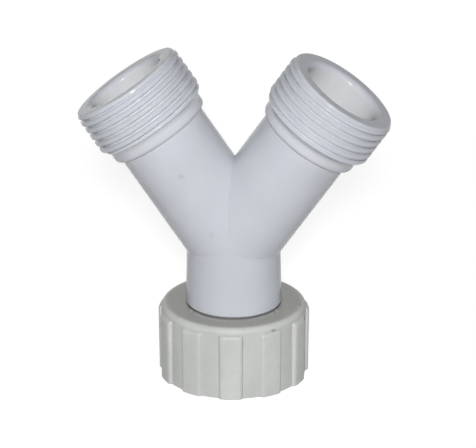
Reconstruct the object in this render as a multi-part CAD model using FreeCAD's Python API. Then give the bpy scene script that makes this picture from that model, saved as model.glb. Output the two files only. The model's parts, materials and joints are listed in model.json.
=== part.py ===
import FreeCAD, Part
import math
import os

# Two-way distributor fitting, in millimetres: a moulded Y-piece whose lower end carries a swivelling union nut
# with a flat washer, and whose two branches end in outside threads. It stands on the nut's open end at z = 0,
# with the nut and the neck upright on Z and both branches in the XZ plane.

# Pipe thread of 3/4 inch on all three ports
thread_major_r = 13.22
thread_minor_r = 12.06
thread_pitch = 1.814
outlet_turns = 6.0
nut_turns = 4.0

# Pipes of the Y-piece; a branch is measured along its axis from the point where the three axes meet
pipe_r = 10.5
pipe_wall = 2.8
branch_tilt = 34.5
branch_pipe_length = 28.4
neck_length = 15.5
neck_flare = 0.3
neck_flare_gap = 1.3
foot_round = 0.35

# Plain collar below each outside thread
collar_step = 1.25
collar_height = 3.0
collar_round = 1.1

# Outside thread's blank, the plain rim after it and the rounded lip of the mouth
thread_start_taper = 0.6
thread_end_taper = 0.9
rim_step = 0.47
rim_height = 0.55
rim_round = 0.4
lip_round = 1.3

# Wider bore under an outside thread, and the cone that narrows it to the pipe's bore
mouth_wall = 3.2
mouth_cone_height = 1.8

# Tail of the neck inside the nut: a groove where the nut's flange runs, and the flange that presses the washer
groove_depth = 0.6
tail_flange_height = 2.1
tail_chamfer = 0.5

# Union nut
nut_wall = 3.0
nut_edge_round = 1.2
nut_mouth_chamfer = 0.9
nut_flange_height = 3.0
tab_depth = 1.1
wide_angle = 118.0
wide_aim = 7.5

# Grip ribs of the nut
rib_count = 11
rib_height = 0.8
rib_drop = 1.5
rib_width = 4.9
rib_slope = 0.35
rib_round = 0.9
rib_draft = 0.15
rib_aim = 5.0

# Flat washer, pushed in past the nut's thread, which then holds it
washer_height = 3.0
washer_hold = 0.19
washer_hole_gap = 0.5

# Clearances between the nut, the washer and the Y-piece
tab_gap = 0.4
tail_gap = 0.26
washer_gap = 0.2
shoulder_play = 0.3
flange_play = 0.5
washer_play = 0.2

# Radii that follow from the sizes above
bore_r = pipe_r - pipe_wall
neck_foot_r = pipe_r + neck_flare
groove_r = neck_foot_r - groove_depth
tail_flange_r = thread_minor_r - tail_gap
collar_r = pipe_r + collar_step
rim_r = thread_major_r - rim_step
mouth_bore_r = thread_minor_r - mouth_wall
washer_r = thread_minor_r + washer_hold
washer_hole_r = bore_r + washer_hole_gap
relief_r = washer_r + washer_gap
tab_r = groove_r + tab_gap
wide_r = tab_r + tab_depth
nut_wall_r = thread_major_r + nut_wall
rib_r = nut_wall_r + rib_height

# Levels on Z, stacked up from the nut's open end
nut_thread_top = nut_mouth_chamfer + nut_turns * thread_pitch
washer_top = nut_thread_top + washer_height
tail_bottom = washer_top + washer_play
tail_flange_top = tail_bottom + tail_flange_height
nut_flange_under = tail_flange_top + flange_play
nut_height = nut_flange_under + nut_flange_height
rib_top = nut_height - rib_drop
shoulder_z = nut_height + shoulder_play
meeting_z = shoulder_z + neck_length

# Distances along a branch, stacked up from the point where the axes meet
collar_top = branch_pipe_length + collar_height
rim_start = collar_top + outlet_turns * thread_pitch
branch_length = rim_start + rim_height

# Half the angle that the neck fills round the meeting point, and a distance beyond every piece
mitre = 90 + branch_tilt / 2
beyond = 4 * branch_length


def arc(centre, radius, start, end):
    """Middle and end of a round between two angles, 0 outward and 90 upward, as one step of an outline."""
    points = []
    for degrees in ((start + end) / 2, end):
        turn = math.radians(degrees)
        points.append((centre[0] + radius * math.cos(turn), centre[1] + radius * math.sin(turn)))
    return tuple(points)


def outline(steps, place):
    """Flat face inside the steps; a step is the next corner, or the middle and end of a round."""
    edges = []
    here = steps[0]
    for step in steps[1:] + steps[:1]:
        if isinstance(step[0], tuple):
            middle, end = step
            edges.append(Part.Arc(place(here), place(middle), place(end)).toShape())
        else:
            end = step
            edges.append(Part.LineSegment(place(here), place(end)).toShape())
        here = end
    return Part.Face(Part.Wire(edges))


def turned(steps):
    """Solid turned about Z from an outline of radius and height, drawn anticlockwise."""
    face = outline(steps, lambda corner: FreeCAD.Vector(corner[0], 0, corner[1]))
    return face.revolve(FreeCAD.Vector(0, 0, 0), FreeCAD.Vector(0, 0, 1), 360)


def about_z(shape, degrees):
    """The shape turned about Z."""
    shape.rotate(FreeCAD.Vector(0, 0, 0), FreeCAD.Vector(0, 0, 1), degrees)
    return shape


def wedge(start, end):
    """All space between two directions from the meeting point, in degrees from straight up towards +X."""
    centre = FreeCAD.Vector(0, -beyond / 2, meeting_z)
    corners = [centre]
    for degrees in (start, (start + end) / 2, end):
        turn = math.radians(degrees)
        corners.append(centre + FreeCAD.Vector(math.sin(turn), 0, math.cos(turn)) * beyond)
    face = Part.Face(Part.makePolygon(corners + [centre]))
    return face.extrude(FreeCAD.Vector(0, beyond, 0))


def neck():
    """Upright pipe from the meeting point down to the flange inside the nut, cut to its two mitres."""
    foot = (neck_foot_r - foot_round, shoulder_z + foot_round)
    flare_top = meeting_z - pipe_r * math.tan(math.radians(branch_tilt / 2)) - neck_flare_gap
    pipe = turned([
        (bore_r, tail_bottom),
        (tail_flange_r - tail_chamfer, tail_bottom),
        (tail_flange_r, tail_bottom + tail_chamfer),
        (tail_flange_r, tail_flange_top),
        (groove_r, tail_flange_top),
        (groove_r, shoulder_z),
        (foot[0], shoulder_z),
        arc(foot, foot_round, -90, 0),
        (pipe_r, flare_top),
        (pipe_r, meeting_z + pipe_r),
        (bore_r, meeting_z + pipe_r),
    ])
    return pipe.common(wedge(mitre, 360 - mitre))


def branch(side):
    """Slanting pipe with its collar, thread blank and wider mouth, cut to its mitres; side is 1 or -1."""
    collar_foot = (collar_r - collar_round, branch_pipe_length + collar_round)
    rim = (rim_r - rim_round, branch_length - rim_round)
    lip = (mouth_bore_r + lip_round, branch_length - lip_round)
    pipe = turned([
        (bore_r, -pipe_r),
        (pipe_r, -pipe_r),
        (pipe_r, branch_pipe_length),
        (collar_foot[0], branch_pipe_length),
        arc(collar_foot, collar_round, -90, 0),
        (collar_r, collar_top),
        (thread_major_r, collar_top + thread_end_taper),
        (thread_major_r, rim_start - thread_start_taper),
        (rim_r, rim_start),
        (rim_r, rim[1]),
        arc(rim, rim_round, 0, 90),
        (lip[0], branch_length),
        arc(lip, lip_round, 90, 180),
        (mouth_bore_r, collar_top),
        (bore_r, collar_top - mouth_cone_height),
    ])
    pipe.rotate(FreeCAD.Vector(0, 0, 0), FreeCAD.Vector(0, 1, 0), side * branch_tilt)
    pipe.translate(FreeCAD.Vector(0, 0, meeting_z))
    return pipe.common(wedge(min(0, side * mitre), max(0, side * mitre)))


def y_body():
    """The moulded Y-piece: three hollow pipes that meet at their mitres."""
    return neck().fuse([branch(1), branch(-1)]).removeSplitter()


def nut_shell():
    """The nut without ribs: its wall, inner flange, relief round the washer and the blank of its thread."""
    edge = (nut_wall_r - nut_edge_round, nut_height - nut_edge_round)
    return turned([
        (thread_minor_r + nut_mouth_chamfer, 0),
        (nut_wall_r, 0),
        (nut_wall_r, edge[1]),
        arc(edge, nut_edge_round, 0, 90),
        (tab_r, nut_height),
        (tab_r, nut_flange_under),
        (relief_r, nut_flange_under),
        (relief_r, nut_thread_top),
        (thread_minor_r, nut_thread_top),
        (thread_minor_r, nut_mouth_chamfer),
    ])


def rib():
    """One grip rib on the -Y side: a bar with sloping flanks, rounded where the hand meets it."""
    inner = nut_wall_r - rib_height
    outer = rib_r + rib_height

    def half_width(radius):
        return rib_width / 2 + rib_slope * (rib_r - radius)

    plan = outline([
        (-half_width(inner), inner),
        (half_width(inner), inner),
        (half_width(outer), outer),
        (-half_width(outer), outer),
    ], lambda corner: FreeCAD.Vector(corner[0], -corner[1], 0))
    bar = plan.extrude(FreeCAD.Vector(0, 0, rib_top))
    bar = bar.common(turned([(inner, 0), (rib_r - rib_draft, 0), (rib_r, rib_top), (inner, rib_top)]))
    return bar.makeFillet(rib_round, [edge for edge in bar.Edges if is_grip_edge(edge)])


def is_grip_edge(edge):
    """Whether an edge is one of a rib's two long outer edges or its outer top edge."""
    ends = edge.Vertexes
    outer = [end for end in ends if math.hypot(end.X, end.Y) > nut_wall_r]
    high = [end for end in ends if end.Z > rib_top / 2]
    return len(outer) == 2 and len(high) >= 1


def union_nut():
    """The swivelling nut; its flange has two narrow tabs in the neck's groove and is wider between them."""
    spacing = 360 / rib_count
    ribs = [about_z(rib(), rib_aim + number * spacing) for number in range(rib_count)]
    nut = nut_shell().fuse(ribs).removeSplitter()
    floor = FreeCAD.Vector(0, 0, nut_flange_under)
    for middle in (wide_aim - 90, wide_aim + 90):
        wide = Part.makeCylinder(wide_r, nut_flange_height, floor, FreeCAD.Vector(0, 0, 1), wide_angle)
        nut = nut.cut(about_z(wide, middle - wide_angle / 2))
    return nut


def sealing_washer():
    """The flat rubber ring between the neck's flange and the pipe that the nut is screwed on."""
    return turned([
        (washer_hole_r, nut_thread_top),
        (washer_r, nut_thread_top),
        (washer_r, washer_top),
        (washer_hole_r, washer_top),
    ])


os.makedirs("parts", exist_ok=True)
for name, make in (("y_body", y_body), ("union_nut", union_nut), ("sealing_washer", sealing_washer)):
    shape = make()
    print(name, "solids", len(shape.Solids), "volume", round(shape.Volume, 1), "valid", shape.isValid())
    shape.exportStep("parts/" + name + ".step")
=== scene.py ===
import json
import math

import bpy
import numpy as np
from bpy.props import FloatProperty, FloatVectorProperty, IntProperty, PointerProperty
from bpy.types import Operator, Panel, PropertyGroup
from mathutils import Matrix, Vector


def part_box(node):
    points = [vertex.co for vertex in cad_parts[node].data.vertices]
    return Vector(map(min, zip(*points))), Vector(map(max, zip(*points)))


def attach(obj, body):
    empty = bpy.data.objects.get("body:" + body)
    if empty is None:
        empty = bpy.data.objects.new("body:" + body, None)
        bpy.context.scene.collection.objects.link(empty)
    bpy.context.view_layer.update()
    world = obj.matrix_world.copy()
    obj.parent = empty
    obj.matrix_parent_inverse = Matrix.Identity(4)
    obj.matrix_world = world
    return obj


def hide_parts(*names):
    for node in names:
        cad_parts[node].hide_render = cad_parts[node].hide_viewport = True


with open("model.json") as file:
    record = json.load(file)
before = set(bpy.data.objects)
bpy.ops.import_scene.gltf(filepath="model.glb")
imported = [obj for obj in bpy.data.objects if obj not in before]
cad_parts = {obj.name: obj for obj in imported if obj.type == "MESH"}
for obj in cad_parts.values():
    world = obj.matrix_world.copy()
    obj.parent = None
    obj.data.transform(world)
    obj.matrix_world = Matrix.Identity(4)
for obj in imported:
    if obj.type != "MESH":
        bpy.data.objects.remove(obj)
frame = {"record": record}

bl_info = {
    "name": "Two-way distributor fitting",
    "version": (1, 0, 0),
    "blender": (4, 5, 0),
    "location": "3D View > Sidebar > Distributor",
    "description": "Moulded Y-piece with outside threads, ribbed union nut, flat washer and a plain stage",
    "category": "Add Mesh",
}

MM = 0.001
TURN = 2 * math.pi

# What the solid model fixes: the threads' radii in millimetres, the branches' tilt in degrees, and the levels
# of the nut and the washer in metres; the visual crests lie 0.01 mm inside the solids'
MOUNTS = {mount["name"]: mount for mount in frame["record"]["mounts"]}
OUTLET = MOUNTS["outlet_right_thread"]
CREST_RADIUS = OUTLET["dims"]["r_mm"]
NUT_CREST_RADIUS = MOUNTS["inlet_nut_thread"]["dims"]["r_mm"]
BRANCH_TILT = math.degrees(math.atan2(OUTLET["axis"][0], OUTLET["axis"][2]))
NUT_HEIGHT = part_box("union_nut")[1].z
WASHER_LOW, WASHER_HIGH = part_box("sealing_washer")
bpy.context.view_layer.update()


def length(label, default, text):
    """A length, given in millimetres, that the sidebar shows in scene units."""
    return FloatProperty(name=label, description=text, default=default * MM, min=0.0, precision=5,
                         unit="LENGTH", subtype="DISTANCE")


def angle(label, default, text):
    """An angle in degrees."""
    return FloatProperty(name=label, description=text, default=math.radians(default), unit="ROTATION",
                         subtype="ANGLE")


def amount(label, default, text, top=1.0):
    """A plain number from zero up."""
    return FloatProperty(name=label, description=text, default=default, min=0.0, max=top, precision=4)


def colour(label, default, text):
    """A linear colour with three channels."""
    return FloatVectorProperty(name=label, description=text, default=default, size=3, min=0.0, max=1.0,
                               subtype="COLOR")


class ThreadSizes(PropertyGroup):
    """Right-hand pipe thread of 3/4 inch, outside on the branches and inside the nut."""
    crest_radius: length("Crest radius", CREST_RADIUS - 0.01, "Radius over the crests of the outside threads")
    root_radius: length("Root radius", 12.1, "Radius in the outside threads' grooves")
    pitch: length("Pitch", 1.814, "Distance from crest to crest")
    flank: angle("Flank angle", 23.0, "Angle between a flank and a plane across the axis")
    tip: length("Groove round", 0.06, "Radius at the bottom of a groove")
    crest_round: length("Crest round", 0.3, "How softly the crests turn into the flanks")
    left_crest: length("Left crest", 41.25, "Place of a crest on the left branch's inner side")
    right_crest: length("Right crest", 41.10, "Place of a crest on the right branch's inner side")
    nut_crest_radius: length("Nut crest radius", NUT_CREST_RADIUS, "Radius inside the crests in the nut")
    nut_root_radius: length("Nut root radius", 13.2, "Radius in the grooves of the nut's thread")


class BodySizes(PropertyGroup):
    """The Y-piece; distances along a limb start where the three axes meet."""
    pipe_radius: length("Pipe radius", 10.5, "Outside radius of the neck and the branches")
    bore_radius: length("Bore radius", 7.7, "Radius of the waterway")
    mouth_bore_radius: length("Mouth bore radius", 8.86, "Radius of the wider bore under a thread")
    tilt: angle("Branch tilt", BRANCH_TILT, "Angle between a branch and the neck")
    meeting_height: length("Meeting height", 32.756, "Height at which the three axes meet")
    pipe_length: length("Branch pipe length", 28.65, "Distance to the foot of a branch's collar")
    collar_radius: length("Collar radius", 11.75, "Radius of the plain collar below a thread")
    collar_length: length("Collar length", 2.75, "Length of the collar along the branch")
    collar_round: length("Collar round", 1.1, "Radius of the collar's shoulder")
    thread_length: length("Thread length", 10.884, "Length of an outside thread")
    rim_radius: length("Rim radius", 12.75, "Radius of the plain rim at a mouth")
    rim_length: length("Rim length", 0.55, "Length of that rim")
    rim_round: length("Rim round", 0.45, "Radius of the rim's outer edge")
    lip_round: length("Lip round", 1.4, "Radius of the lip round a mouth's bore")
    mouth_cone: length("Mouth cone", 1.8, "Length of the cone down to the waterway")
    crotch_round: length("Crotch round", 0.1, "Radius of the crease between the branches at the crotch")
    front_round: length("Front round", 0.05, "Radius of that crease on the front and the back")
    neck_round: length("Neck round", 0.4, "Radius of the creases between the neck and the branches")
    foot_height: length("Foot height", 17.256, "Height of the neck's lower edge, just over the nut")
    foot_radius: length("Foot radius", 10.8, "Radius of the neck at that edge")
    groove_radius: length("Groove radius", 10.2, "Radius of the groove for the nut's flange")
    tail_radius: length("Tail radius", 11.8, "Radius of the flange that presses on the washer")
    tail_top: length("Tail top", 13.456, "Height of that flange's upper face")
    tail_bottom: length("Tail bottom", 11.356, "Height of that flange's lower face")
    columns: IntProperty(name="Columns", description="Points round a limb, a multiple of four", default=192,
                         min=48)


class NutSizes(PropertyGroup):
    """The union nut, which stands on its open end at height zero."""
    height: length("Height", NUT_HEIGHT / MM, "Height of the nut")
    wall_radius: length("Wall radius", 16.22, "Radius of the wall between the ribs")
    edge_round: length("Edge round", 1.2, "Radius of the upper outer edge")
    rib_height: length("Rib height", 0.795, "How far the grip ribs stand out")
    rib_drop: length("Rib drop", 1.5, "How far the ribs end below the top")
    rib_draft: length("Rib draft", 0.15, "How much lower the ribs are at the open end")
    rib_count: IntProperty(name="Ribs", description="Number of grip ribs", default=11, min=3)
    rib_half: length("Half rib", 2.45, "Half a rib's width, where its rounded edges would meet")
    rib_slope: amount("Rib slope", 0.35, "How much wider half a rib gets for each metre further in")
    rib_round: length("Rib round", 0.9, "Radius of a rib's edges")
    rib_aim: angle("Rib aim", 5.0 - 90.0, "Direction of the first rib")
    tab_radius: length("Tab radius", 10.6, "Radius of the hole at its narrow tabs")
    wide_radius: length("Wide radius", 11.7, "Radius of the hole between the tabs")
    wide_half: angle("Wide stretch", 59.0, "Half the angle of a wide stretch of the hole")
    wide_aim: angle("Wide aim", 7.5 - 90.0, "Direction of the first wide stretch")
    flange_length: length("Flange length", 3.0, "Thickness of the flange round the neck")
    relief_radius: length("Relief radius", 12.45, "Radius of the space round the washer")
    mouth_chamfer: length("Mouth chamfer", 0.9, "Chamfer at the open end of the thread")


class WasherSizes(PropertyGroup):
    """The flat rubber ring inside the nut."""
    outer_radius: length("Outer radius", WASHER_HIGH.x / MM, "Outside radius of the ring")
    hole_radius: length("Hole radius", 8.2, "Radius of the hole")
    bottom: length("Bottom", WASHER_LOW.z / MM, "Height of the lower face")
    top: length("Top", WASHER_HIGH.z / MM, "Height of the upper face")
    edge_round: length("Edge round", 0.35, "Radius of the ring's edges")


class Finishes(PropertyGroup):
    """Colours and gloss of the two plastics and the rubber."""
    body_colour: colour("Body colour", (0.60, 0.621, 0.665), "Bluish white of the Y-piece")
    body_roughness: amount("Body roughness", 0.13, "Roughness of the Y-piece")
    # Painted light: a paler tone deep in the threads' grooves and on the collars, which lifts the shade there.
    groove_painted_light_colour: colour("Groove colour", (0.70, 0.712, 0.738), "Paler tone deep in the threads")
    # Painted light in the waterway: a paler tone that stands in for light through the wall, and a little less
    # blue.
    bore_hue_and_light_colour: colour("Bore colour", (0.637, 0.645, 0.66), "Paler tone of the waterway")
    nut_colour: colour("Nut colour", (0.57, 0.582, 0.567), "Greyer white of the nut")
    nut_roughness: amount("Nut roughness", 0.42, "Roughness of the nut")
    # Dark tone of the nut's nicks and of a darker tone between its ribs, and painted shade in the gap at the
    # neck's foot, on the nut's top and in its hole.
    nick_and_shade_colour: colour("Grime colour", (0.34, 0.34, 0.315), "Dust in grooves and nicks")
    stain_colour: colour("Stain colour", (0.42, 0.33, 0.27), "Faint brown marks on the Y-piece")
    washer_colour: colour("Washer colour", (0.022, 0.022, 0.024), "Black of the rubber")


class StageSettings(PropertyGroup):
    """Camera, lamps and floor."""
    azimuth: angle("Camera azimuth", 7.214, "Camera's turn to the right of straight in front")
    elevation: angle("Camera elevation", 22.004, "Camera's height angle")
    roll: angle("Camera roll", 0.058, "Camera's turn about its own axis")
    distance: length("Camera distance", 675.41, "Distance to the point it looks at")
    aim: FloatVectorProperty(name="Camera aim", description="Point that the camera looks at", size=3,
                             subtype="XYZ", unit="LENGTH", precision=5,
                             default=(1.0433 * MM, -0.7606 * MM, 35.7955 * MM))
    lens: FloatProperty(name="Focal length", description="Focal length on a sensor 36 mm wide",
                        default=229.42, unit="CAMERA")
    key_power: amount("Key light", 41.0, "Power of the lamp near the camera, in watts", 1000.0)
    key_size: length("Key light size", 200.0, "Diameter of that lamp")
    fill_power: amount("Fill light", 0.6, "Power of the soft lamp on the left, in watts", 1000.0)
    back_power: amount("Back light", 20.0, "Power of the low lamp behind the object, in watts", 1000.0)
    ambient: amount("Ambient", 0.01, "Brightness of the surroundings on the object", 10.0)
    floor_colour: colour("Floor colour", (0.3, 0.3, 0.3), "Grey of the floor")
    floor_lift: amount("Floor lift", 0.86, "Light added to the floor where the camera sees it", 10.0)


def even_angles(count):
    """Angles at even steps round a full turn, without the last, which is the first again."""
    return np.arange(count) * (TURN / count)


def soft_step(value, low, high):
    """Rises from 0 at low to 1 at high along 3t squared minus 2t cubed."""
    t = np.clip((value - low) / (high - low), 0.0, 1.0)
    return t * t * (3.0 - 2.0 * t)


def soft_min(first, second, reach):
    """The lower of two values; where they differ by less than reach, it dips under both by reach times h
    squared over 4, h being 1 where they are equal and 0 at the reach."""
    h = np.maximum(reach - np.abs(first - second), 0.0) / np.maximum(reach, 1e-12)
    return np.minimum(first, second) - h * h * reach / 4.0


def soft_max(first, second, reach):
    """The higher of two values, blended in the same way."""
    return -soft_min(-first, -second, reach)


def rounded_line(corners, rounds, spacing, arc_steps=5):
    """Profile through corners, each bend replaced by the arc that touches both its legs; legs get points at
    a cosine spacing, closer towards their ends. Returns a column of distances and one of radii."""
    corners = np.array(corners, float)
    rows = [corners[:1]]
    for index in range(1, len(corners) - 1):
        here = corners[index]
        back = corners[index - 1] - here
        ahead = corners[index + 1] - here
        back /= np.linalg.norm(back)
        ahead /= np.linalg.norm(ahead)
        half = math.acos(float(np.clip(back @ ahead, -1.0, 1.0))) / 2
        radius = rounds[index - 1]
        middle = (back + ahead) / np.linalg.norm(back + ahead)
        centre = here + middle * (radius / math.sin(half))
        start = here + back * (radius / math.tan(half))
        end = here + ahead * (radius / math.tan(half))
        t = np.linspace(0.0, 1.0, arc_steps)[:, None]
        chord = (start - centre) * (1.0 - t) + (end - centre) * t
        arc = centre + chord * (radius / np.linalg.norm(chord, axis=1, keepdims=True))
        rows.append(leg(rows[-1][-1], start, spacing)[1:])
        rows.append(arc[1:])
    rows.append(leg(rows[-1][-1], corners[-1], spacing)[1:])
    return np.concatenate(rows).T[:, :, None]


def leg(start, end, spacing):
    """Points from start to end at (1 - cos(pi t)) / 2 of the way, with t in even steps."""
    steps = max(2, int(math.ceil(np.linalg.norm(np.subtract(end, start)) / spacing)) + 1)
    t = (1.0 - np.cos(np.linspace(0.0, math.pi, steps + 1))) / 2
    return np.outer(1.0 - t, start) + np.outer(t, end)


def ring_points(centre, axis, across, along, radius, angles):
    """Grid of points round an axis: centre + axis times along + radius times (across times cos of the angle
    + (axis x across) times sin of the angle). Rows follow the profile and columns the angle."""
    side = np.cross(axis, across)
    turn = np.cos(angles)[:, None] * across + np.sin(angles)[:, None] * side
    along, radius = np.broadcast_arrays(along, radius)
    return centre + along[:, :, None] * axis + radius[:, :, None] * turn[None]


def upright_points(along, radius, angles):
    """Grid of points round the upright axis through the origin, with angle 0 towards +X."""
    upwards, ahead = np.array([0.0, 0.0, 1.0]), np.array([1.0, 0.0, 0.0])
    return ring_points(np.zeros(3), upwards, ahead, along, radius, angles)


def stack_rows(rows, columns):
    """Grids of the distances along an axis and of the radii, from pairs of both; a number or a column is
    repeated across the grid."""
    wide = [np.broadcast_arrays(*row, np.zeros(columns))[:2] for row in rows]
    return [np.concatenate(parts) for parts in zip(*wide)]


def quarter(count):
    """Columns of the sine and the cosine of even steps through a quarter turn."""
    t = np.linspace(0.0, math.pi / 2, count)[:, None]
    return np.sin(t), np.cos(t)


def weld_grids(parts, wrap_rows):
    """Points, quads and point values from pairs of a grid, whose columns go once round, and its values;
    points that lie within a micrometre of each other become one. With wrap_rows the last row is joined to
    the first."""
    points, quads, start = [], [], 0
    for grid, _ in parts:
        rows, columns = grid.shape[:2]
        index = start + np.arange(rows * columns).reshape(rows, columns)
        last = rows if wrap_rows else rows - 1
        right = np.roll(index, -1, axis=1)
        above, above_right = np.roll(index, -1, axis=0), np.roll(right, -1, axis=0)
        quads.append(np.stack([index, right, above_right, above], -1)[:last].reshape(-1, 4))
        points.append(grid.reshape(-1, 3))
        start += rows * columns
    points = np.concatenate(points)
    keys = np.round(points / 1e-6).astype(np.int64)
    _, first, place = np.unique(keys, axis=0, return_index=True, return_inverse=True)
    quads = place.reshape(-1)[np.concatenate(quads)]
    values = np.concatenate([value.reshape(-1) for _, value in parts])
    return points[first], quads, values[first]


def make_piece(name, points, quads, recess, material):
    """Mesh object at the origin with smooth faces and a value for each point, the attribute recess, which
    the materials turn into painted light and painted shade, and on the nut also a darker tone between the
    ribs."""
    old = bpy.data.objects.get(name)
    if old:
        bpy.data.objects.remove(old)
    mesh = bpy.data.meshes.new(name)
    mesh.from_pydata(points.tolist(), [], quads.tolist())
    mesh.polygons.foreach_set("use_smooth", np.ones(len(mesh.polygons), bool))
    attribute = mesh.attributes.new("recess", "FLOAT", "POINT")
    attribute.data.foreach_set("value", recess.astype(np.float32))
    mesh.materials.append(material)
    mesh.update()
    if mesh.validate():
        raise RuntimeError("The mesh of " + name + " has faults")
    piece = bpy.data.objects.new(name, mesh)
    bpy.context.scene.collection.objects.link(piece)
    return piece


def thread_phase(along, angles, crest_at, thread):
    """Share of a pitch from the nearest crest of a right-hand thread, whose place advances by one pitch a
    turn; above 0 towards the mouth."""
    phase = (along - crest_at) / thread.pitch - angles / TURN
    return phase - np.round(phase)


def groove_height(along, angles, crest_at, thread):
    """Height over the bottom of a V groove with a round bottom, halfway between two crests: (hypot(distance,
    tip) - tip) over the tangent of the flank angle."""
    distance = thread.pitch * (0.5 - np.abs(thread_phase(along, angles, crest_at, thread)))
    return (np.hypot(distance, thread.tip) - thread.tip) / math.tan(thread.flank)


def groove_tone(along, angles, crest_at, radius, thread):
    """How much painted light a point in a groove gets, to lift its shade: its depth as a share of the
    thread's, and on the flank that faces the mouth, which is lit, only what exceeds 0.55, spread over the
    rest."""
    lit_start = 0.55
    depth = np.clip((thread.crest_radius - radius) / (thread.crest_radius - thread.root_radius), 0.0, 1.0)
    lit = np.clip((depth - lit_start) / (1.0 - lit_start), 0.0, 1.0)
    return np.where(thread_phase(along, angles, crest_at, thread) > 0.0, lit, depth)


def branch_thread(along, angles, crest_at, body, thread):
    """Radius of the collar, outside thread and rim: the V groove under the crest cylinder, cut down by a
    cone at either end, over the collar's radius below and with the rim's flank above."""
    start = body.pipe_length + body.collar_length
    end = start + body.thread_length
    rim_climb, end_slope = 1.6, 0.78
    rim_blend, end_blend, start_blend = 0.15 * MM, 0.2 * MM, 0.5 * MM
    ridge = thread.root_radius + groove_height(along, angles, crest_at, thread)
    rim = body.rim_radius - (end - 0.25 * MM - along) * rim_climb
    ridge = soft_max(ridge, np.minimum(rim, body.rim_radius + 0.1 * MM), rim_blend)
    ridge = soft_min(ridge, thread.crest_radius, thread.crest_round)
    ridge = soft_min(ridge, body.rim_radius + (end - along) * end_slope, end_blend)
    ridge = soft_min(ridge, body.collar_radius + along - start, start_blend)
    return soft_max(ridge, body.collar_radius, start_blend)


def mitre_along(radius, angles, plus_half, minus_half):
    """Distance along a limb at which its skin meets the next limb's: offset towards that limb, radius times
    the cosine of the angle, over the tangent of half the angle between the two axes."""
    offset = radius * np.cos(angles)
    return np.where(offset >= 0.0, offset / math.tan(plus_half), -offset / math.tan(minus_half))


def limb_frames(body):
    """Axis, outwards, and across-direction of the left branch, the right branch and the neck."""
    lean, rise = math.sin(body.tilt), math.cos(body.tilt)
    left = (np.array([-lean, 0.0, rise]), np.array([rise, 0.0, lean]))
    right = (np.array([lean, 0.0, rise]), np.array([-rise, 0.0, lean]))
    neck = (np.array([0.0, 0.0, -1.0]), np.array([1.0, 0.0, 0.0]))
    return left, right, neck


def limb_distance(points, centre, axis, radius):
    """Distance to a limb's skin and its direction: the distance to the half-line from the meeting point,
    less the radius."""
    offset = points - centre
    along = np.maximum(offset @ axis, 0.0)
    out = offset - along[..., None] * axis
    far = np.linalg.norm(out, axis=-1)
    return far - radius, out / np.maximum(far, 1e-9)[..., None]


def soften_creases(points, body, centre):
    """Moves the skin outwards until it lies on the soft union of the limbs. For each pair of limbs the reach
    of the soft minimum is 4 times the crease's radius times (1 - cos of half the angle between their two
    directions), which is a rolling ball's fillet and fades where the skins run smoothly together."""
    left, right, neck = limb_frames(body)
    pairs = ((left, right, None), (left, neck, body.neck_round), (right, neck, body.neck_round))
    steps = 4
    for _ in range(steps):
        best = np.full(points.shape[:-1], np.inf)
        push = np.zeros_like(points)
        for one, other, radius in pairs:
            if radius is None:
                outward = np.abs(points[..., 1] - centre[1]) / body.pipe_radius
                share = soft_step(outward, 0.35, 0.95)
                radius = body.crotch_round + (body.front_round - body.crotch_round) * share
            first, first_way = limb_distance(points, centre, one[0], body.pipe_radius)
            second, second_way = limb_distance(points, centre, other[0], body.pipe_radius)
            cosine = np.clip(np.sum(first_way * second_way, axis=-1), -1.0, 1.0)
            reach = 4.0 * radius * (1.0 - np.sqrt((1.0 + cosine) / 2.0)) + 1e-9
            value = soft_min(first, second, reach)
            mix = np.clip(0.5 + 0.5 * (second - first) / reach, 0.0, 1.0)[..., None]
            way = first_way * mix + second_way * (1.0 - mix)
            lower = value < best
            best = np.where(lower, value, best)
            push = np.where(lower[..., None], way, push)
        size = np.maximum(np.sum(push * push, axis=-1), 0.05)
        points = points - (best / size)[..., None] * push
    return points


def lip_rows(mouth, body):
    """Rim edge, flat end and rounded lip: a quarter circle about a point inside the rim, a level stretch,
    and a quarter circle about a point inside the lip, each as the point plus the radius times sine and
    cosine."""
    edge = body.rim_radius - body.rim_round
    start = body.mouth_bore_radius + body.lip_round
    sine, cosine = quarter(7)
    rim = (mouth - body.rim_round + body.rim_round * sine, edge + body.rim_round * cosine)
    sine, cosine = quarter(16)
    lip = (mouth - body.lip_round + body.lip_round * cosine, start - body.lip_round * sine)
    return [rim, (mouth, np.linspace(edge, start, 6)[1:-1, None]), lip]


def limb_skin(limb, centre, body, angles, halves, pipe, middle, bore):
    """A hollow limb as a single grid: the pipe from the outer mitre on, the rows in the middle, and the bore
    up to the inner mitre. The pipe has a number of rows, a power that crowds them at the mitre and an end,
    the bore a number of rows and a start. Returns the points and their distances along the limb and from its
    axis."""
    count, crowd, end = pipe
    share = np.linspace(0.0, 1.0, count)[:, None] ** crowd
    outer = mitre_along(body.pipe_radius, angles, *halves)
    rows = [(outer * (1.0 - share) + end * share, body.pipe_radius), *middle]
    steps, start = bore
    share = np.linspace(0.0, 1.0, steps + 1)[1:, None]
    inner = mitre_along(body.bore_radius, angles, *halves)
    rows.append((start * (1.0 - share) + inner * share, body.bore_radius))
    along, radius = stack_rows(rows, len(angles))
    grid = ring_points(centre, *limb, along, radius, angles)
    grid[:count] = soften_creases(grid[:count], body, centre)
    return grid, along, radius


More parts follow.
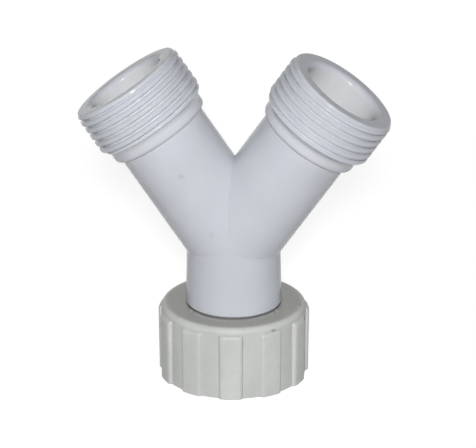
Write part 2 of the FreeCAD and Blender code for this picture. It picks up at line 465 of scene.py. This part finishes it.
def branch_grid(limb, centre, crest_at, body, thread, angles):
    """One branch: pipe, collar, thread, rim and lip, and back down the wide bore and the cone."""
    halves = (body.tilt, math.pi / 2 - body.tilt / 2)
    foot = body.pipe_length
    below = foot - 0.5 * MM
    start = foot + body.collar_length
    mouth = start + body.thread_length + body.rim_length
    foot_round, cone_round, rows_a_pitch = 0.3 * MM, 0.4 * MM, 17
    collar = rounded_line([
        (below, body.pipe_radius), (foot, body.pipe_radius), (foot, body.collar_radius),
        (start - 0.3 * MM, body.collar_radius),
    ], [foot_round, body.collar_round], 0.6 * MM, 8)[:, 1:]
    helix = np.arange(start - 0.2 * MM, mouth - body.rim_round, thread.pitch / rows_a_pitch)[:, None]
    helix = (helix, branch_thread(helix, angles, crest_at, body, thread))
    cone = rounded_line([
        (mouth - body.lip_round, body.mouth_bore_radius), (start, body.mouth_bore_radius),
        (start - body.mouth_cone, body.bore_radius), (below, body.bore_radius),
    ], [cone_round, cone_round], 1.5 * MM)[:, 1:]
    middle = [collar, helix, *lip_rows(mouth, body), cone]
    skin = limb_skin(limb, centre, body, angles, halves, (30, 1.7, below), middle, (13, below))
    grid, along, radius = skin
    # Painted light: paler tones deep in the grooves, on the collar and at its foot, which lift the shade
    # there.
    tone = groove_tone(along, angles, crest_at, radius, thread)
    recess = thread_recess(tone, along, start, mouth)
    collar_tone = collar_recess(along - foot, radius - body.pipe_radius)
    recess = np.where(along < start - 0.25 * MM, collar_tone, recess)
    # Painted light in the bore, from just inside the mouth.
    bore_start, bore_fade = mouth - 0.2 * MM, 1.5 * MM
    bore_tone = -np.clip((bore_start - along) / bore_fade, 0.0, 1.0)
    return grid, np.where(radius < body.pipe_radius - 0.1 * MM, bore_tone, recess)


def thread_recess(tone, along, start, mouth):
    """The grooves' painted light, faded out over 0.7 mm at either end, and a band of painted light where the
    collar turns into the thread, which falls off in a straight line from its middle."""
    near, far, band = 0.9 * MM, 1.6 * MM, 0.8 * MM
    fade = soft_step(along, start + near, start + far) * (1.0 - soft_step(along, mouth - far, mouth - near))
    return np.maximum(tone * fade, np.clip(1.0 - np.abs(along - start - 0.2 * MM) / band, 0.0, 0.8))


def collar_recess(along, out):
    """Painted light at the collar's foot, where the corner lies in shade: 2 in the corner, falling to 0 on the
    pipe over 0.5 mm and on the collar, which painted light makes a little paler all over, over 1.3 mm."""
    on_collar = out > 0.1 * MM
    near = np.clip(1.0 - np.hypot(along, out) / np.where(on_collar, 1.3 * MM, 0.5 * MM), 0.0, 1.0)
    return np.maximum(2.0 * near, np.where(on_collar, 0.55, 0.0))


def neck_grid(limb, centre, body, angles):
    """The neck: pipe, groove and tail flange, and back up the bore; painted shade darkens the groove by its
    foot.
    """
    corner = math.pi / 2 - body.tilt / 2
    high = centre[2]
    past_mitre = 1.3 * MM
    flare = body.pipe_radius / math.tan(corner) + past_mitre
    foot = high - body.foot_height
    tail_top, tail_bottom = high - body.tail_top, high - body.tail_bottom
    inside, bore_rows = tail_bottom - 1.0 * MM, 7
    tail = rounded_line([
        (flare, body.pipe_radius), (foot, body.foot_radius), (foot, body.groove_radius),
        (tail_top, body.groove_radius), (tail_top, body.tail_radius), (tail_bottom, body.tail_radius),
        (tail_bottom, body.bore_radius), (inside, body.bore_radius),
    ], [0.35 * MM, 0.1 * MM, 0.15 * MM, 0.15 * MM, 0.45 * MM, 0.3 * MM], 0.9 * MM, 6)[:, 1:]
    halves, pipe, bore = (corner, corner), (14, 1.5, flare), (bore_rows, inside)
    grid, along, radius = limb_skin(limb, centre, body, angles, halves, pipe, [tail], bore)
    # Painted shade in the gap between the neck's foot and the nut, fading over 2.5 mm from the foot.
    in_groove = (along > foot - 0.01 * MM) & (radius < body.foot_radius - 0.3 * MM)
    dark, fade = 2.4, 2.5 * MM
    gap = np.clip(1.0 - (along - foot) / fade, 0.0, 1.0)
    recess = np.where(in_groove, -dark * gap, 0.0)
    # Painted light in the bore.
    recess[-bore_rows:] = -1.0
    return grid, recess


def rib_marks(nut):
    """Distances from a rib's middle line at which its top ends, its round ends and its flank meets the wall,
    and the height at the end of the round."""
    lean = math.atan(nut.rib_slope)
    turn = math.pi / 2 - lean
    top_end = nut.rib_half - nut.rib_round * math.tan(turn / 2)
    round_end = top_end + nut.rib_round * math.sin(turn)
    round_height = nut.rib_height - nut.rib_round * (1.0 - math.cos(turn))
    return top_end, round_end, round_end + nut.rib_slope * round_height, round_height


def nut_outer_radius(high, angles, nut):
    """Wall radius plus the ribs. Across a rib the height is level, then falls along a quarter round, R less
    the root of R squared minus the distance squared, and then straight down the flank. Towards the ribs'
    upper ends it falls along a like round, and it loses the draft towards the open end."""
    step = TURN / nut.rib_count
    off = np.abs((angles - nut.rib_aim + step / 2) % step - step / 2) * nut.wall_radius
    top_end, round_end, foot, round_height = rib_marks(nut)
    bend = np.clip(off - top_end, 0.0, round_end - top_end)
    across = nut.rib_height - nut.rib_round + np.sqrt(nut.rib_round ** 2 - bend ** 2)
    across = np.where(off > round_end, (foot - off) / nut.rib_slope, across)
    top = nut.height - nut.rib_drop
    over = np.clip(high - (top - nut.rib_round), 0.0, nut.rib_round * 0.999)
    drop = nut.rib_round - np.sqrt(nut.rib_round ** 2 - over ** 2)
    draft = nut.rib_draft * (1.0 - high / top)
    rib = np.where(high < top, across - drop - draft, 0.0)
    return nut.wall_radius + np.maximum(rib, 0.0)


def nut_hole_radius(angles, nut):
    """Tab radius, raised to the wide radius within the two opposite stretches, with soft steps at their
    ends."""
    off = np.abs((angles - nut.wide_aim + math.pi / 2) % math.pi - math.pi / 2)
    edge = math.radians(0.8)
    wide = 1.0 - soft_step(off, nut.wide_half - edge, nut.wide_half + edge)
    return nut.tab_radius + (nut.wide_radius - nut.tab_radius) * wide


def nut_thread_radius(high, top, angles, nut, thread):
    """Inside thread: crest radius plus what the V groove leaves below its root, faded out at the thread's
    top and opened by the chamfer at the mouth."""
    depth = thread.nut_root_radius - thread.nut_crest_radius
    groove = depth - groove_height(high, angles, 0.0, thread)
    blend = 0.15 * MM
    groove = soft_max(groove * (1.0 - soft_step(high, top - 1.2 * MM, top - 0.2 * MM)), 0.0, blend)
    return thread.nut_crest_radius + soft_max(groove, nut.mouth_chamfer - high, blend)


def nut_angles(nut):
    """Column angles, close together over the ribs' flanks and the ends of the hole's wide stretches."""
    top_end, round_end, foot, _ = [mark / nut.wall_radius for mark in rib_marks(nut)]
    land = np.linspace(0.0, top_end, 4)[:-1]
    bend = top_end + (round_end - top_end) * quarter(9)[0][:-1, 0]
    flank = np.array([round_end, (round_end + foot) / 2, foot, foot + math.radians(0.4)])
    valley = np.linspace(foot, TURN / nut.rib_count / 2, 6)[2:]
    half = np.concatenate([land, bend, flank, valley])
    rib = np.concatenate([-half[::-1], half[1:-1]])
    ribs = (nut.rib_aim + np.arange(nut.rib_count)[:, None] * (TURN / nut.rib_count) + rib[None]).reshape(-1)
    ends = np.array([-1.0, 1.0])[:, None] * nut.wide_half + np.radians(np.linspace(-0.8, 0.8, 7))[None]
    ends = (nut.wide_aim + np.array([0.0, math.pi])[:, None] + ends.reshape(-1)[None]).reshape(-1)
    every = np.sort(np.concatenate([ribs, ends]) % TURN)
    return every[np.concatenate([[True], np.diff(every) > math.radians(0.05)])]


def nut_grid(nut, thread):
    """The nut as one closed grid: across the foot, up the ribbed wall, over the rounded edge and the top,
    down through the hole, out under the flange, and down the relief and the thread."""
    angles = nut_angles(nut)
    hole = nut_hole_radius(angles, nut)
    top = nut.height - nut.rib_drop
    under = nut.height - nut.flange_length
    edge, turns, rows_a_pitch = 0.2 * MM, 4.0, 13
    thread_top = nut.mouth_chamfer + turns * thread.pitch
    foot = nut_outer_radius(0.0, angles, nut) - edge
    mouth = thread.nut_crest_radius + nut.mouth_chamfer
    share = np.array([0.1, 0.5, 0.9])[:, None]
    sine, cosine = quarter(4)
    rows = [(0.0, mouth + (foot - mouth) * share), (edge - edge * cosine, foot + edge * sine)]
    wall = np.linspace(edge * 1.5, top - nut.rib_round, 9)[:-1, None]
    bend = top - nut.rib_round + nut.rib_round * quarter(12)[0]
    high = np.concatenate([wall, bend, [[top + 0.06 * MM], [top + 0.2 * MM]]])
    rows.append((high, nut_outer_radius(high, angles, nut)))
    sine, cosine = quarter(10)
    bend = nut.wall_radius - nut.edge_round
    rows.append((nut.height - nut.edge_round + nut.edge_round * sine, bend + nut.edge_round * cosine))
    share = np.linspace(0.0, 1.0, 7)[1:, None]
    sine, cosine = [part[1:] for part in quarter(4)]
    rows += [
        (nut.height, bend + (hole + edge - bend) * share),
        (nut.height - edge + edge * cosine, hole + edge - edge * sine),
        (nut.height - edge + (under + edge - nut.height + edge) * share, hole),
        (under + edge - edge * sine, hole + edge - edge * cosine),
        (under, hole + edge + (nut.relief_radius - hole - edge) * share),
    ]
    share = np.array([0.05, 0.3, 0.7, 0.95, 1.0])[:, None]
    rows.append((under + (thread_top - under) * share, nut.relief_radius))
    high = np.append(np.arange(thread_top, -1e-9, -thread.pitch / rows_a_pitch), 0.0)[:, None]
    rows.append((high, nut_thread_radius(high, thread_top, angles, nut, thread)))
    along, radius = stack_rows(rows, len(angles))
    return upright_points(along, radius, angles), nut_recess(along, radius, hole, angles, nut)


def nut_recess(along, radius, hole, angles, nut):
    """Share of a darker tone: 0.35 on the wall between the ribs and none round the upper edge; painted shade
    of
    2.4 on the hole's wall, and on the top painted shade rising to 2.4 within 1 mm of the rounded edge's inner
    end."""
    valley_darker, painted_shade = 0.35, 2.4
    # A darker tone on the wall between the ribs.
    proud = (nut_outer_radius(along, angles, nut) - nut.wall_radius) / nut.rib_height
    valley = valley_darker * (1.0 - np.clip(proud, 0.0, 1.0))
    recess = np.where(radius > nut.wall_radius - 0.01 * MM, valley, 0.0)
    recess = np.where(along > nut.height - nut.rib_drop + 0.3 * MM, 0.0, recess)
    # Painted shade on the hole's wall, where the gap round the neck lies in shade.
    in_hole = (radius < hole + 0.15 * MM) & (along < nut.height - 0.05 * MM)
    recess = np.where(in_hole & (along > nut.height - nut.flange_length), painted_shade, recess)
    # Painted shade on the nut's top inside its rounded edge.
    inward = soft_step(nut.wall_radius - nut.edge_round + 0.7 * MM - radius, 0.0, 1.0 * MM)
    on_top = (along > nut.height - 0.25 * MM) & (radius > hole)
    return np.where(on_top, np.maximum(recess, painted_shade * inward), recess)


def washer_grid(washer, columns):
    """The washer as one closed grid: a rectangle with rounded corners turned about the upright axis."""
    middle = (washer.bottom + washer.top) / 2
    profile = rounded_line([
        (middle, washer.outer_radius), (washer.top, washer.outer_radius), (washer.top, washer.hole_radius),
        (washer.bottom, washer.hole_radius), (washer.bottom, washer.outer_radius),
        (middle, washer.outer_radius),
    ], [washer.edge_round] * 4, 0.6 * MM, 6)[:, :-1]
    along, radius = stack_rows([profile], columns)
    return upright_points(along, radius, even_angles(columns)), np.zeros_like(along)


class Nodes:
    """A node tree under construction: adds nodes and joins them."""

    def __init__(self, tree):
        self.tree = tree

    def add(self, kind, **inputs):
        """One node; each input is a value, or a socket to join. Names use _ for spaces, input_N takes a
        number, and set_NAME sets one of the node's own options."""
        made = self.tree.nodes.new(kind)
        for name, value in inputs.items():
            if name.startswith("set_"):
                setattr(made, name[4:], value)
        for name, value in inputs.items():
            if name.startswith("input_"):
                self.fill(made.inputs[int(name[6:])], value)
            elif not name.startswith("set_"):
                self.fill(made.inputs[name.replace("_", " ")], value)
        return made

    def fill(self, socket, value):
        """Joins a socket to another, or gives it a value."""
        if isinstance(value, bpy.types.NodeSocket):
            self.tree.links.new(value, socket)
        else:
            socket.default_value = value

    def math(self, operation, first, second=0.0):
        """One sum, product or other operation on two values."""
        return self.add("ShaderNodeMath", set_operation=operation, input_0=first, input_1=second).outputs[0]

    def spread(self, value, low, high, to_low=0.0, to_high=1.0):
        """Maps a range of values smoothly to another."""
        return self.add("ShaderNodeMapRange", set_interpolation_type="SMOOTHSTEP", Value=value, From_Min=low,
                        From_Max=high, To_Min=to_low, To_Max=to_high).outputs[0]

    def seen(self):
        """1 for the camera, a reflection or a view through a clear surface, 0 for the light itself."""
        path = self.add("ShaderNodeLightPath").outputs
        other = self.math("MAXIMUM", path["Is Glossy Ray"], path["Is Transmission Ray"])
        return self.math("MAXIMUM", path["Is Camera Ray"], other)


class Finish(Nodes):
    """A material under construction."""

    def __init__(self, name):
        old = bpy.data.materials.get(name)
        if old:
            bpy.data.materials.remove(old)
        self.material = bpy.data.materials.new(name)
        self.material.use_nodes = True
        super().__init__(self.material.node_tree)
        self.shader = self.tree.nodes["Principled BSDF"]
        self.place = self.add("ShaderNodeTexCoord").outputs["Object"]

    def recess(self):
        """The value that each point of the mesh has."""
        return self.add("ShaderNodeAttribute", set_attribute_name="recess").outputs["Fac"]

    def noise(self, scale, detail=2.0, stretch=(1.0, 1.0, 1.0), roughness=0.5):
        """Noise over the object's own coordinates, stretched along its axes."""
        place = self.add("ShaderNodeMapping", Vector=self.place, Scale=stretch).outputs[0]
        return self.add("ShaderNodeTexNoise", Vector=place, Scale=scale, Detail=detail,
                        Roughness=roughness).outputs[0]

    def tint(self, factor, base, other):
        """Base colour, turned towards the other by the factor."""
        made = self.add("ShaderNodeMix", set_data_type="RGBA", input_0=factor)
        for socket, value in ((made.inputs[6], base), (made.inputs[7], other)):
            self.fill(socket, value if isinstance(value, bpy.types.NodeSocket) else tuple(value) + (1.0,))
        return made.outputs[2]

    def moved(self, operation, place, by):
        """One operation on two vectors."""
        return self.add("ShaderNodeVectorMath", set_operation=operation, input_0=place, input_1=by).outputs[0]

    def far(self, place):
        """Length of a vector."""
        return self.add("ShaderNodeVectorMath", set_operation="LENGTH", input_0=place).outputs["Value"]

    def spot(self, centre, inner, outer, stretch):
        """1 within the inner radius of a point, falling to 0 at the outer radius, all in millimetres; its
        edge is uneven."""
        centre = tuple(value * MM for value in centre)
        off = self.moved("MULTIPLY", self.moved("SUBTRACT", self.place, centre), stretch)
        uneven = self.math("MULTIPLY", self.math("SUBTRACT", self.noise(2500.0), 0.5), outer * MM)
        return self.spread(self.math("ADD", self.far(off), uneven), inner * MM, outer * MM, 1.0, 0.0)

    def bump(self, height, distance, normal=None):
        """Bump from a height, in metres, on top of an earlier normal."""
        made = self.add("ShaderNodeBump", Height=height, Strength=1.0, Distance=distance)
        if normal is not None:
            self.tree.links.new(normal, made.inputs["Normal"])
        return made.outputs[0]

    def finish(self, **inputs):
        """Sets or joins the shader's own inputs and returns the material."""
        for name, value in inputs.items():
            self.fill(self.shader.inputs[name.replace("_", " ")], value)
        return self.material


def shade(tone, share):
    """The colour times a share."""
    return tuple(channel * share for channel in tone)


def body_plastic(finishes):
    """Glossy bluish white moulding: slow clouds in the colour and the gloss, specks, painted light that makes
    the grooves, the collars and their feet, and the waterway paler, painted shade in the gap at the neck's
    foot, the mould's parting line where y is zero, and two faint brown marks."""
    made = Finish("gloss_white_plastic")
    tone, pale = finishes.body_colour, finishes.groove_painted_light_colour
    recess = made.recess()
    cloud = made.noise(55.0, 3.0)
    grain = made.noise(900.0, 2.0)
    surface = made.tint(made.spread(cloud, 0.35, 0.65), shade(tone, 0.965), shade(tone, 1.02))
    surface = made.tint(made.spread(grain, 0.68, 0.78, 0.0, 0.35), surface, shade(tone, 0.86))
    # Painted light: the groove colour and a paler copy of it lift the shade in the grooves and at the collars,
    # and the bore colour lifts the waterway; a darkened tone is painted shade in the gap at the neck's foot.
    for span, other in (
            ((0.25, 1.0), pale),
            ((1.0, 2.0), shade(pale, 1.17)),
            ((-0.9, -0.3, 1.0, 0.0), finishes.bore_hue_and_light_colour),
            ((-2.0, -1.0, 0.9, 0.0), shade(finishes.nick_and_shade_colour, 0.4))):
        surface = made.tint(made.spread(recess, *span), surface, other)
    for strength, centre, inner, outer, stretch in (
            (0.3, (-10.27, -10.41, 50.17), 0.25, 0.75, (0.7, 1.0, 1.3)),
            (0.16, (-3.60, -10.48, 36.86), 0.2, 1.1, (1.6, 1.0, 0.7))):
        spot = made.math("MULTIPLY", made.spot(centre, inner, outer, stretch), strength)
        surface = made.tint(spot, surface, finishes.stain_colour)
    across = made.math("ABSOLUTE", made.add("ShaderNodeSeparateXYZ", Vector=made.place).outputs["Y"])
    line = made.spread(across, 0.03 * MM, 0.13 * MM, 1.0, 0.0)
    line = made.math("MULTIPLY", line, made.spread(recess, -0.6, -0.1))
    gloss = made.math("ADD", made.spread(cloud, 0.3, 0.7, -0.03, 0.03), finishes.body_roughness)
    gloss = made.math("ADD", gloss, made.spread(recess, -0.9, -0.3, 0.12, 0.0))
    normal = made.bump(grain, 0.008 * MM)
    normal = made.bump(line, 0.035 * MM, normal)
    return made.finish(Base_Color=surface, Roughness=gloss, Normal=normal, IOR=1.48, Specular_IOR_Level=0.13,
                       Subsurface_Weight=1.0, Subsurface_Radius=(1.0, 1.0, 1.1), Subsurface_Scale=0.4 * MM)


def nut_plastic(finishes):
    """Greyer satin moulding: mottled colour, fine grain, a darker tone between the ribs, painted shade on the
    top and in the hole, and a few dark nicks."""
    made = Finish("satin_grey_white_plastic")
    tone, nick_and_shade = finishes.nut_colour, finishes.nick_and_shade_colour
    cloud = made.noise(120.0, 4.0, (1.0, 1.0, 0.5), 0.6)
    mottle = made.noise(750.0, 3.0)
    hair = made.noise(500.0, 3.0, (1.0, 1.0, 0.06), 0.6)
    surface = made.tint(made.spread(cloud, 0.32, 0.68), shade(tone, 0.93), shade(tone, 1.03))
    surface = made.tint(made.spread(mottle, 0.55, 0.75, 0.0, 0.5), surface, shade(tone, 0.87))
    # Painted shade on the nut's top and in its hole, and a darker tone between the ribs, from each point's
    # value.
    surface = made.tint(made.math("MULTIPLY", made.recess(), 0.35), surface, nick_and_shade)
    nicks = None
    for centre, inner, outer, stretch in (
            ((16.56, -3.83, 15.12), 0.16, 0.42, (1.0, 1.0, 0.7)),
            ((16.61, -3.61, 14.1), 0.12, 0.36, (1.0, 1.0, 0.8)),
            ((15.01, -0.37, 16.95), 0.15, 0.4, (1.0, 1.0, 1.0)),
            ((10.65, -12.73, 15.6), 0.15, 0.5, (0.6, 0.6, 1.5)),
            ((-12.1, -11.9, 14.9), 0.1, 0.35, (1.0, 1.0, 1.0))):
        nick = made.spot(centre, inner, outer, stretch)
        nicks = nick if nicks is None else made.math("MAXIMUM", nicks, nick)
    surface = made.tint(made.math("MULTIPLY", nicks, 0.8), surface, shade(nick_and_shade, 0.35))
    gloss = made.math("ADD", made.spread(mottle, 0.3, 0.7, -0.05, 0.05), finishes.nut_roughness)
    gloss = made.math("ADD", gloss, made.spread(hair, 0.5, 0.75, 0.0, 0.08))
    normal = made.bump(mottle, 0.03 * MM)
    normal = made.bump(hair, 0.015 * MM, normal)
    normal = made.bump(made.math("MULTIPLY", nicks, -1.0), 0.12 * MM, normal)
    return made.finish(Base_Color=surface, Roughness=gloss, Normal=normal, IOR=1.48, Specular_IOR_Level=0.22,
                       Diffuse_Roughness=0.12, Subsurface_Weight=0.06, Subsurface_Radius=(1.0, 1.0, 0.9),
                       Subsurface_Scale=0.6 * MM)


def washer_rubber(finishes):
    """Matt black rubber with a fine cloth-like grain and dusty patches."""
    made = Finish("black_rubber")
    tone = finishes.washer_colour
    cloud = made.noise(260.0, 3.0)
    grain = made.noise(1800.0, 2.0)
    surface = made.tint(made.spread(cloud, 0.4, 0.7), tone, shade(tone, 2.4))
    gloss = made.spread(grain, 0.3, 0.7, 0.62, 0.82)
    normal = made.bump(grain, 0.03 * MM)
    return made.finish(Base_Color=surface, Roughness=gloss, Normal=normal, Specular_IOR_Level=0.35)


def floor_paint(stage):
    """Matt floor; where the camera or a reflection sees it, light is added so that it shows white and keeps
    the shadow, and a little more of it far away, where the lamps fall off."""
    made = Finish("pale_floor")
    tone = stage.floor_colour
    speck = made.noise(35.0, 3.0)
    surface = made.tint(made.spread(speck, 0.3, 0.7), shade(tone, 0.985), tone)
    spread = made.spread(made.far(made.place), 0.08, 0.5, stage.floor_lift, 1.0)
    lift = made.math("MULTIPLY", made.seen(), spread)
    return made.finish(Base_Color=surface, Roughness=0.9, Specular_IOR_Level=0.1,
                       Emission_Color=(1.0, 1.0, 1.0, 1.0), Emission_Strength=lift)


class FITTING_OT_y_body(Operator):
    """Builds the Y-piece: neck, branches, collars, outside threads, mouths and waterway, as one closed skin"""
    bl_idname = "fitting.y_body"
    bl_label = "Y-piece"

    def execute(self, context):
        body, thread = context.scene.fitting_body, context.scene.fitting_thread
        angles = even_angles(body.columns)
        centre = np.array([0.0, 0.0, body.meeting_height])
        left, right, neck = limb_frames(body)
        parts = [branch_grid(left, centre, thread.left_crest, body, thread, angles),
                 branch_grid(right, centre, thread.right_crest, body, thread, angles),
                 neck_grid(neck, centre, body, angles)]
        plastic = body_plastic(context.scene.fitting_finishes)
        piece = make_piece("moulded_y_piece", *weld_grids(parts, False), plastic)
        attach(piece, "distributor")
        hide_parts("y_body")
        return {"FINISHED"}


class FITTING_OT_union_nut(Operator):
    """Builds the union nut: ribbed wall, rounded top, tabbed hole and inside thread, as one closed skin"""
    bl_idname = "fitting.union_nut"
    bl_label = "Union nut"

    def execute(self, context):
        parts = [nut_grid(context.scene.fitting_nut, context.scene.fitting_thread)]
        plastic = nut_plastic(context.scene.fitting_finishes)
        piece = make_piece("ribbed_union_nut", *weld_grids(parts, True), plastic)
        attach(piece, "nut")
        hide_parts("union_nut")
        return {"FINISHED"}


class FITTING_OT_washer(Operator):
    """Builds the flat rubber washer with soft edges"""
    bl_idname = "fitting.washer"
    bl_label = "Washer"

    def execute(self, context):
        columns = 128
        parts = [washer_grid(context.scene.fitting_washer, columns)]
        rubber = washer_rubber(context.scene.fitting_finishes)
        piece = make_piece("flat_washer", *weld_grids(parts, True), rubber)
        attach(piece, "nut")
        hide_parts("sealing_washer")
        return {"FINISHED"}


def direction(azimuth, elevation):
    """Unit vector towards a place seen at an azimuth to the right of straight in front, and an elevation."""
    level = math.cos(elevation)
    return Vector((math.sin(azimuth) * level, -math.cos(azimuth) * level, math.sin(elevation)))


def pointed(name, data, place, target, roll=0.0):
    """New object at a place, with its -Z axis towards a target and its X axis level and then rolled."""
    back = (place - target).normalized()
    right = Vector((0.0, 0.0, 1.0)).cross(back).normalized()
    turn = Matrix((right, back.cross(right), back)).transposed() @ Matrix.Rotation(roll, 3, "Z")
    made = bpy.data.objects.new(name, data)
    made.matrix_world = Matrix.Translation(place) @ turn.to_4x4()
    bpy.context.scene.collection.objects.link(made)
    return made


class FITTING_OT_stage(Operator):
    """Builds the pale floor, the lamps, the even surroundings and the camera"""
    bl_idname = "fitting.stage"
    bl_label = "Stage"

    def execute(self, context):
        scene = context.scene
        stage = scene.fitting_stage
        self.floor(stage)
        self.surroundings(scene, stage)
        for name, azimuth, elevation, size, power, reflected in (
                ("key_lamp", 7.2, 25.0, stage.key_size, stage.key_power, True),
                ("fill_lamp", -60.0, 45.0, 0.9, stage.fill_power, True),
                ("back_lamp", 187.0, 3.0, 0.25, stage.back_power, False)):
            towards = direction(math.radians(azimuth), math.radians(elevation))
            self.lamp(name, towards, size, power, reflected)
        self.camera(scene, stage)
        scene.view_settings.view_transform = "Standard"
        return {"FINISHED"}

    def floor(self, stage):
        """Flat square that reaches past every view."""
        reach = 6.0
        corners = np.array([[-1.0, -1.0, 0.0], [1.0, -1.0, 0.0], [1.0, 1.0, 0.0], [-1.0, 1.0, 0.0]]) * reach
        floor = make_piece("floor", corners, np.array([[0, 1, 2, 3]]), np.zeros(4), floor_paint(stage))

    def surroundings(self, scene, stage):
        """White to the camera and in reflections, and a weaker even light otherwise."""
        world = bpy.data.worlds.get("even_light") or bpy.data.worlds.new("even_light")
        scene.world = world
        world.use_nodes = True
        nodes = Nodes(world.node_tree)
        nodes.tree.nodes.clear()
        strength = nodes.spread(nodes.seen(), 0.0, 1.0, stage.ambient, 1.0)
        background = nodes.add("ShaderNodeBackground", Strength=strength).outputs[0]
        nodes.add("ShaderNodeOutputWorld", Surface=background)

    def lamp(self, name, towards, size, power, reflected):
        """Round lamp of a diameter and power, 2 m from the object's middle."""
        middle, distance = Vector((0.0, 0.0, 36.0 * MM)), 2.0
        light = bpy.data.lights.new(name, "AREA")
        light.shape = "DISK"
        light.size = size
        light.energy = power
        made = pointed(name, light, middle + towards * distance, middle)
        made.visible_glossy = reflected

    def camera(self, scene, stage):
        """Camera at the photograph's viewing angle."""
        data = bpy.data.cameras.new("view")
        data.sensor_width = 36.0
        data.lens = stage.lens
        data.clip_start = 0.01
        data.clip_end = 50.0
        target = Vector(stage.aim)
        place = target + direction(stage.azimuth, stage.elevation) * stage.distance
        scene.camera = pointed("view", data, place, target, stage.roll)


class FITTING_PT_sidebar(Panel):
    """Sizes, finishes and build buttons in the sidebar"""
    bl_idname = "FITTING_PT_sidebar"
    bl_label = "Two-way distributor"
    bl_space_type = "VIEW_3D"
    bl_region_type = "UI"
    bl_category = "Distributor"

    def draw(self, context):
        scene = context.scene
        for name, _, operators in SECTIONS:
            box = self.layout.box()
            for operator in operators:
                box.operator(operator)
            group = getattr(scene, name)
            for key in group.__annotations__:
                box.prop(group, key)


SECTIONS = (
    ("fitting_thread", ThreadSizes, ()),
    ("fitting_body", BodySizes, ("fitting.y_body",)),
    ("fitting_nut", NutSizes, ("fitting.union_nut",)),
    ("fitting_washer", WasherSizes, ("fitting.washer",)),
    ("fitting_finishes", Finishes, ()),
    ("fitting_stage", StageSettings, ("fitting.stage",)),
)
OPERATORS = (FITTING_OT_y_body, FITTING_OT_union_nut, FITTING_OT_washer, FITTING_OT_stage)


def register():
    """Makes the settings, the operators and the panel known, and puts the settings on the scene."""
    for name, group, _ in SECTIONS:
        bpy.utils.register_class(group)
        setattr(bpy.types.Scene, name, PointerProperty(type=group))
    for operator in OPERATORS:
        bpy.utils.register_class(operator)
    bpy.utils.register_class(FITTING_PT_sidebar)


def unregister():
    """Takes them away again, last first."""
    bpy.utils.unregister_class(FITTING_PT_sidebar)
    for operator in reversed(OPERATORS):
        bpy.utils.unregister_class(operator)
    for name, group, _ in reversed(SECTIONS):
        delattr(bpy.types.Scene, name)
        bpy.utils.unregister_class(group)


def main():
    """Builds every piece and the stage."""
    register()
    bpy.ops.fitting.y_body()
    bpy.ops.fitting.union_nut()
    bpy.ops.fitting.washer()
    bpy.ops.fitting.stage()


if __name__ == "__main__":
    main()
